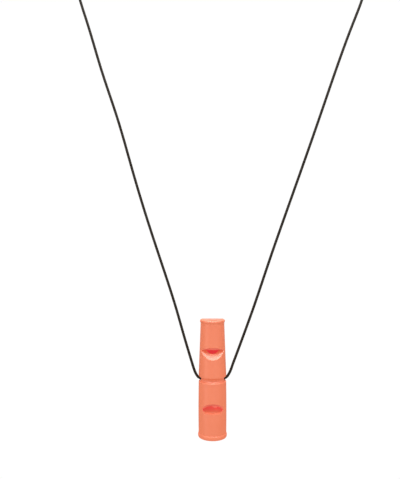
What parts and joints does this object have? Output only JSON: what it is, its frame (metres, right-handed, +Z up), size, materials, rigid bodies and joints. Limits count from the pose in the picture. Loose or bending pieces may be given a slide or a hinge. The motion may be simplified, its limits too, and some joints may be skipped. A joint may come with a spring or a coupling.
{
  "type": "dog whistle",
  "caption": "Two-ended coral plastic dog whistle, plain tone at the top and pea trill at the bottom, hung on a thin dark neck cord through its waist.",
  "frame": {"origin": "centre of the cord at the nape, where the wearer's neck carries it, above the lanyard hole", "axes": "+Z up along the hanging whistle towards the plain mouthpiece, -Y out of the windows, +X along the lanyard hole to the right"},
  "size_m": [0.2359, 0.0228, 0.4251],
  "materials": {
    "coral_plastic": "moulded coral ABS, satin gloss",
    "plug_plastic": "moulded coral ABS, pressed in",
    "pea": "light plastic ball",
    "cord": "braided polyester cord, dark brown"
  },
  "bodies": {
    "lanyard": {"cord_left": "cord", "cord_right": "cord", "cord_in_waist": "cord", "cord_knot": "cord"},
    "whistle": {"waist_collar": "coral_plastic", "upper_barrel": "coral_plastic", "upper_windway_plug": "plug_plastic", "lower_barrel": "coral_plastic", "lower_windway_plug": "plug_plastic"},
    "pea": {"pea": "pea"}
  },
  "joints": [
    {"name": "whistle_swing", "type": "hinge", "parent": "lanyard", "child": "whistle", "pos_m": [0, 0, -0.376], "axis": [1, 0, 0], "continuous": true},
    {"name": "pea_whirl", "type": "hinge", "parent": "whistle", "child": "pea", "pos_m": [0, 0, -0.39725], "axis": [0, 0, 1], "continuous": true}
  ]
}
